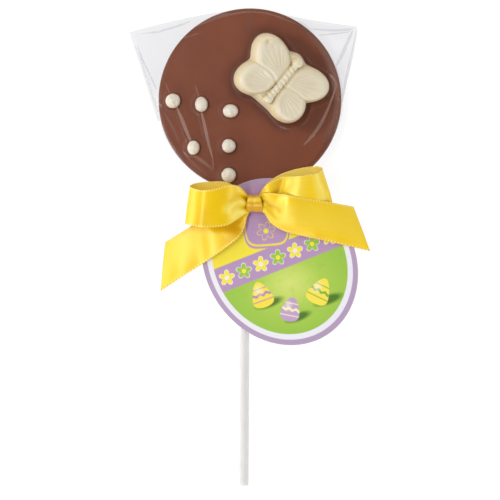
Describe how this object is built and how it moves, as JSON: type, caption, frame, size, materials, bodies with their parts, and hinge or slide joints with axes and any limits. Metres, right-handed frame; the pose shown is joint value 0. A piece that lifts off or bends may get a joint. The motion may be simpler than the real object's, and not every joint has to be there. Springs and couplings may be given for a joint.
{
  "type": "chocolate lollipop",
  "caption": "Round milk chocolate lollipop with a white chocolate butterfly and pearls, in a clear bag tied with a ribbon bow and an oval card tag.",
  "frame": {"origin": "centre of the chocolate disc's back face, on the surface it lies on", "axes": "+X right and +Y from the stick towards the top of the disc, seen from the decorated face; +Z out of that face"},
  "size_m": [0.0988, 0.1959, 0.0223],
  "materials": {
    "chocolate": "milk chocolate, softly glossy",
    "white_chocolate": "white chocolate, satin",
    "pearl": "sugar pearl, satin",
    "film": "clear glossy film",
    "stick_paper": "rolled white paper",
    "card_print": "printed card, satin",
    "satin": "yellow satin ribbon"
  },
  "bodies": {
    "root": {"bagged_chocolate": "chocolate", "stick": "stick_paper", "ribbon": "satin", "card": "card_print"}
  },
  "joints": []
}
